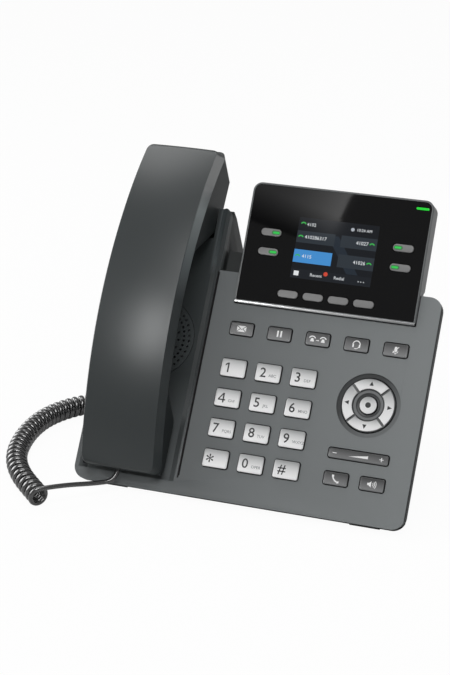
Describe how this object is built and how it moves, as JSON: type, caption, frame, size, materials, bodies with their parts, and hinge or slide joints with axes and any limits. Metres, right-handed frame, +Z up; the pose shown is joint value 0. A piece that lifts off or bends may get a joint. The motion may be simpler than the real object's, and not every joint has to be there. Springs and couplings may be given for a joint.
{
  "type": "desk telephone",
  "caption": "Corded desk phone with a sloped key plate, a leaning screen module, an arched handset lying in a cradle, a curly cord and a rear stand.",
  "frame": {"origin": "on the desk, under the middle of the phone's box without its cord", "axes": "+X to the user's right, +Y away from the user, +Z up"},
  "size_m": [0.2571, 0.2038, 0.1807],
  "materials": {
    "body_plastic": "fine satin, mid grey",
    "handset_plastic": "satin, charcoal",
    "rim_plastic": "satin, light grey rim",
    "lens": "polished, black",
    "display": "dark colour display",
    "lamp": "clear green",
    "dial_key": "silver white",
    "dark_key": "satin, dark grey",
    "pill_key": "satin, grey",
    "rubber": "matte",
    "board": "solder mask",
    "socket_metal": "moulded",
    "socket_plastic": "moulded, black",
    "steel": "plain",
    "plug": "clear dark",
    "cord": "glossy, dark"
  },
  "bodies": {
    "base": {"front_housing": "body_plastic", "rear_housing": "body_plastic", "housing_screws": "steel", "keypad_membrane": "rubber", "main_board": "board", "network_sockets": "socket_metal", "modular_sockets": "socket_plastic", "power_jack": "socket_plastic", "speaker_grille": "handset_plastic", "loudspeaker": "steel", "screen_housing": "rim_plastic", "screen_lens": "lens", "display_module": "display", "message_lamp": "lamp", "stand": "body_plastic", "rubber_feet": "rubber", "base_plug": "plug", "cord_coil": "cord", "cord_tail": "cord", "cord_lead": "cord"},
    "handset": {"handset_shell": "handset_plastic", "handset_cover": "handset_plastic", "ear_capsule": "socket_plastic", "microphone": "socket_plastic", "handset_weight": "steel", "handset_socket": "socket_plastic", "handset_plug": "plug"},
    "hook": {"hook_plunger": "socket_plastic"},
    "nav_carrier": {"nav_carrier": "dark_key"},
    "nav_ring": {"nav_ring": "dial_key"},
    "volume": {"volume_rocker": "dark_key"},
    "dial_key_one": {"dial_key_one": "dial_key"},
    "dial_key_two": {"dial_key_two": "dial_key"},
    "dial_key_three": {"dial_key_three": "dial_key"},
    "dial_key_four": {"dial_key_four": "dial_key"},
    "dial_key_five": {"dial_key_five": "dial_key"},
    "dial_key_six": {"dial_key_six": "dial_key"},
    "dial_key_seven": {"dial_key_seven": "dial_key"},
    "dial_key_eight": {"dial_key_eight": "dial_key"},
    "dial_key_nine": {"dial_key_nine": "dial_key"},
    "dial_key_star": {"dial_key_star": "dial_key"},
    "dial_key_zero": {"dial_key_zero": "dial_key"},
    "dial_key_hash": {"dial_key_hash": "dial_key"},
    "message_key": {"message_key": "dark_key"},
    "hold_key": {"hold_key": "dark_key"},
    "transfer_key": {"transfer_key": "dark_key"},
    "headset_key": {"headset_key": "dark_key"},
    "mute_key": {"mute_key": "dark_key"},
    "call_key": {"call_key": "dark_key"},
    "speaker_key": {"speaker_key": "dark_key"},
    "select_key": {"select_key": "dial_key"},
    "soft_key_1": {"soft_key_1": "pill_key"},
    "soft_key_2": {"soft_key_2": "pill_key"},
    "soft_key_3": {"soft_key_3": "pill_key"},
    "soft_key_4": {"soft_key_4": "pill_key"},
    "line_key_1": {"line_key_1": "pill_key"},
    "line_key_2": {"line_key_2": "pill_key"},
    "line_key_3": {"line_key_3": "pill_key"},
    "line_key_4": {"line_key_4": "pill_key"}
  },
  "joints": [
    {"name": "handset_lift", "type": "slide", "parent": "base", "child": "handset", "axis": [0, -0.809, 0.5878], "range_m": [0, 0.08]},
    {"name": "hook_rise", "type": "slide", "parent": "base", "child": "hook", "axis": [0, -0.809, 0.5878], "range_m": [0, 0.003]},
    {"name": "nav_pitch", "type": "hinge", "parent": "base", "child": "nav_carrier", "pos_m": [0.0687, -0.03698, 0.05872], "axis": [1, 0, 0], "range_deg": [-2.5, 2.5], "stiffness_Nm_per_rad": 0.6},
    {"name": "nav_roll", "type": "hinge", "parent": "nav_carrier", "child": "nav_ring", "pos_m": [0.0687, -0.03916, 0.06031], "axis": [0, 0.5878, 0.809], "range_deg": [-2.5, 2.5], "stiffness_Nm_per_rad": 0.6},
    {"name": "volume_rock", "type": "hinge", "parent": "base", "child": "volume", "pos_m": [0.0684, -0.05536, 0.03462], "axis": [0, 0.5878, 0.809], "range_deg": [-2, 2], "stiffness_Nm_per_rad": 0.6},
    {"name": "dial_key_one_press", "type": "slide", "parent": "base", "child": "dial_key_one", "axis": [0, 0.809, -0.5878], "range_m": [0, 0.001], "stiffness_N_per_m": 300, "deforming": ["keypad_membrane"]},
    {"name": "dial_key_two_press", "type": "slide", "parent": "base", "child": "dial_key_two", "axis": [0, 0.809, -0.5878], "range_m": [0, 0.001], "stiffness_N_per_m": 300, "deforming": ["keypad_membrane"]},
    {"name": "dial_key_three_press", "type": "slide", "parent": "base", "child": "dial_key_three", "axis": [0, 0.809, -0.5878], "range_m": [0, 0.001], "stiffness_N_per_m": 300, "deforming": ["keypad_membrane"]},
    {"name": "dial_key_four_press", "type": "slide", "parent": "base", "child": "dial_key_four", "axis": [0, 0.809, -0.5878], "range_m": [0, 0.001], "stiffness_N_per_m": 300, "deforming": ["keypad_membrane"]},
    {"name": "dial_key_five_press", "type": "slide", "parent": "base", "child": "dial_key_five", "axis": [0, 0.809, -0.5878], "range_m": [0, 0.001], "stiffness_N_per_m": 300, "deforming": ["keypad_membrane"]},
    {"name": "dial_key_six_press", "type": "slide", "parent": "base", "child": "dial_key_six", "axis": [0, 0.809, -0.5878], "range_m": [0, 0.001], "stiffness_N_per_m": 300, "deforming": ["keypad_membrane"]},
    {"name": "dial_key_seven_press", "type": "slide", "parent": "base", "child": "dial_key_seven", "axis": [0, 0.809, -0.5878], "range_m": [0, 0.001], "stiffness_N_per_m": 300, "deforming": ["keypad_membrane"]},
    {"name": "dial_key_eight_press", "type": "slide", "parent": "base", "child": "dial_key_eight", "axis": [0, 0.809, -0.5878], "range_m": [0, 0.001], "stiffness_N_per_m": 300, "deforming": ["keypad_membrane"]},
    {"name": "dial_key_nine_press", "type": "slide", "parent": "base", "child": "dial_key_nine", "axis": [0, 0.809, -0.5878], "range_m": [0, 0.001], "stiffness_N_per_m": 300, "deforming": ["keypad_membrane"]},
    {"name": "dial_key_star_press", "type": "slide", "parent": "base", "child": "dial_key_star", "axis": [0, 0.809, -0.5878], "range_m": [0, 0.001], "stiffness_N_per_m": 300, "deforming": ["keypad_membrane"]},
    {"name": "dial_key_zero_press", "type": "slide", "parent": "base", "child": "dial_key_zero", "axis": [0, 0.809, -0.5878], "range_m": [0, 0.001], "stiffness_N_per_m": 300, "deforming": ["keypad_membrane"]},
    {"name": "dial_key_hash_press", "type": "slide", "parent": "base", "child": "dial_key_hash", "axis": [0, 0.809, -0.5878], "range_m": [0, 0.001], "stiffness_N_per_m": 300, "deforming": ["keypad_membrane"]},
    {"name": "message_key_press", "type": "slide", "parent": "base", "child": "message_key", "axis": [0, 0.809, -0.5878], "range_m": [0, 0.001], "stiffness_N_per_m": 300, "deforming": ["keypad_membrane"]},
    {"name": "hold_key_press", "type": "slide", "parent": "base", "child": "hold_key", "axis": [0, 0.809, -0.5878], "range_m": [0, 0.001], "stiffness_N_per_m": 300, "deforming": ["keypad_membrane"]},
    {"name": "transfer_key_press", "type": "slide", "parent": "base", "child": "transfer_key", "axis": [0, 0.809, -0.5878], "range_m": [0, 0.001], "stiffness_N_per_m": 300, "deforming": ["keypad_membrane"]},
    {"name": "headset_key_press", "type": "slide", "parent": "base", "child": "headset_key", "axis": [0, 0.809, -0.5878], "range_m": [0, 0.001], "stiffness_N_per_m": 300, "deforming": ["keypad_membrane"]},
    {"name": "mute_key_press", "type": "slide", "parent": "base", "child": "mute_key", "axis": [0, 0.809, -0.5878], "range_m": [0, 0.001], "stiffness_N_per_m": 300, "deforming": ["keypad_membrane"]},
    {"name": "call_key_press", "type": "slide", "parent": "base", "child": "call_key", "axis": [0, 0.809, -0.5878], "range_m": [0, 0.001], "stiffness_N_per_m": 300, "deforming": ["keypad_membrane"]},
    {"name": "speaker_key_press", "type": "slide", "parent": "base", "child": "speaker_key", "axis": [0, 0.809, -0.5878], "range_m": [0, 0.001], "stiffness_N_per_m": 300, "deforming": ["keypad_membrane"]},
    {"name": "select_key_press", "type": "slide", "parent": "base", "child": "select_key", "axis": [0, 0.809, -0.5878], "range_m": [0, 0.001], "stiffness_N_per_m": 300, "deforming": ["keypad_membrane"]},
    {"name": "soft_key_1_press", "type": "slide", "parent": "base", "child": "soft_key_1", "axis": [0, 0.848, -0.5299], "range_m": [0, 0.0006], "stiffness_N_per_m": 300},
    {"name": "soft_key_2_press", "type": "slide", "parent": "base", "child": "soft_key_2", "axis": [0, 0.848, -0.5299], "range_m": [0, 0.0006], "stiffness_N_per_m": 300},
    {"name": "soft_key_3_press", "type": "slide", "parent": "base", "child": "soft_key_3", "axis": [0, 0.848, -0.5299], "range_m": [0, 0.0006], "stiffness_N_per_m": 300},
    {"name": "soft_key_4_press", "type": "slide", "parent": "base", "child": "soft_key_4", "axis": [0, 0.848, -0.5299], "range_m": [0, 0.0006], "stiffness_N_per_m": 300},
    {"name": "line_key_1_press", "type": "slide", "parent": "base", "child": "line_key_1", "axis": [0, 0.848, -0.5299], "range_m": [0, 0.0006], "stiffness_N_per_m": 300},
    {"name": "line_key_2_press", "type": "slide", "parent": "base", "child": "line_key_2", "axis": [0, 0.848, -0.5299], "range_m": [0, 0.0006], "stiffness_N_per_m": 300},
    {"name": "line_key_3_press", "type": "slide", "parent": "base", "child": "line_key_3", "axis": [0, 0.848, -0.5299], "range_m": [0, 0.0006], "stiffness_N_per_m": 300},
    {"name": "line_key_4_press", "type": "slide", "parent": "base", "child": "line_key_4", "axis": [0, 0.848, -0.5299], "range_m": [0, 0.0006], "stiffness_N_per_m": 300}
  ],
  "couplings": [
    {"joint": "hook_rise", "follows": "handset_lift", "ratio": 0.0375}
  ]
}
